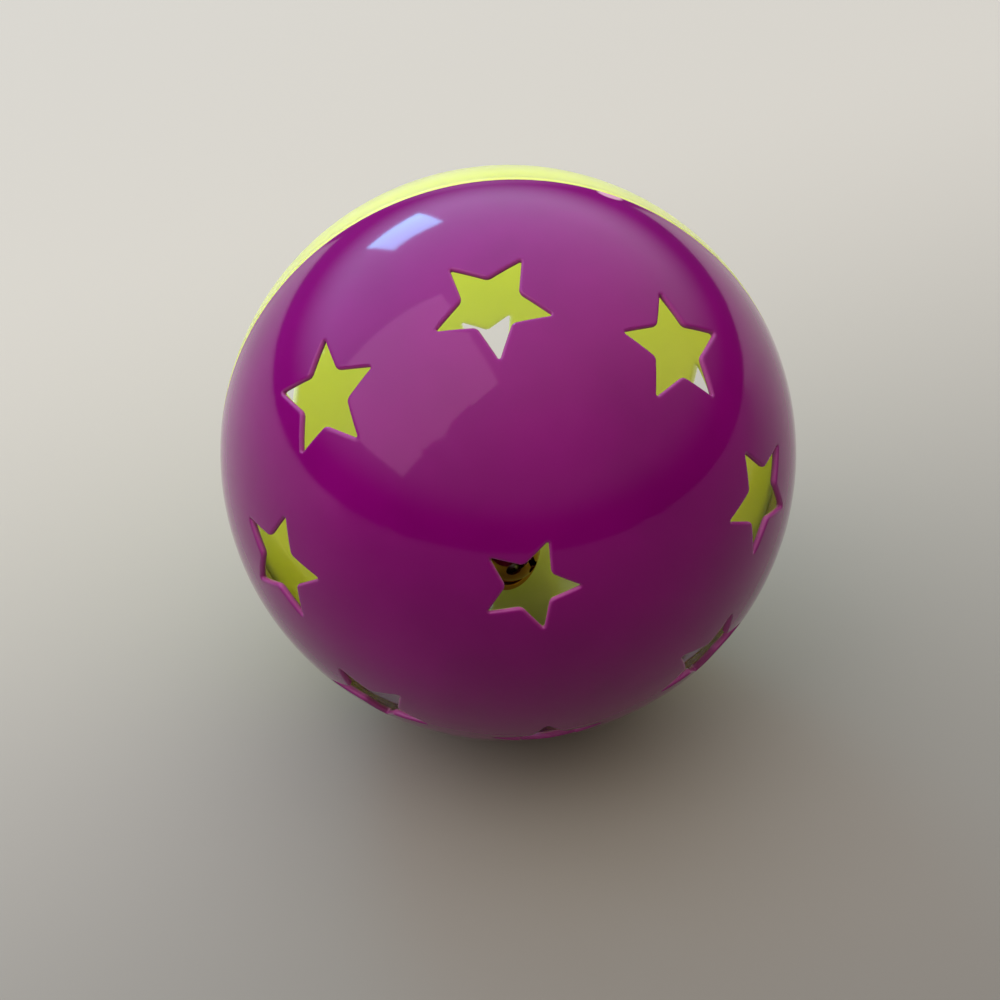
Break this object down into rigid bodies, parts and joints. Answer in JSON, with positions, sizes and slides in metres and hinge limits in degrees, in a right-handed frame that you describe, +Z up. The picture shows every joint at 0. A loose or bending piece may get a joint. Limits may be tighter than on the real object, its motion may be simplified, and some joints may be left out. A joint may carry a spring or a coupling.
{
  "type": "cat toy ball",
  "caption": "Hollow two-tone plastic ball pierced with stars, in two halves lapped at the seam, with a loose jingle bell inside that rattles as a cat rolls it.",
  "frame": {"origin": "centre of the ball", "axes": "+Z up as the ball lies; the purple half's pole points along -Y and 13 degrees up, so the seam stands almost upright and faces -Y"},
  "size_m": [0.04, 0.0399, 0.0399],
  "materials": {
    "purple_plastic": "glossy moulded plastic, slightly translucent",
    "lime_plastic": "glossy moulded plastic, translucent",
    "bell_brass": "bright plated",
    "pellet_steel": "plain"
  },
  "bodies": {
    "lime_half": {"lime_half": "lime_plastic"},
    "purple_half": {"purple_half": "purple_plastic"},
    "bell": {"bell_upper_cup": "bell_brass", "bell_lower_cup": "bell_brass", "bell_loop": "bell_brass"},
    "pellet": {"bell_pellet": "pellet_steel"}
  },
  "joints": [
    {"name": "halves_apart", "type": "slide", "parent": "lime_half", "child": "purple_half", "axis": [0, -0.9744, 0.225], "range_m": [0, 0.03]},
    {"name": "bell_roll", "type": "hinge", "parent": "lime_half", "child": "bell", "pos_m": [0, 0, 0], "axis": [0, -0.9744, 0.225], "continuous": true},
    {"name": "pellet_run", "type": "hinge", "parent": "bell", "child": "pellet", "pos_m": [0.00045, 0.00709, -0.01485], "axis": [-0.626, 0.7171, -0.3065], "continuous": true}
  ]
}
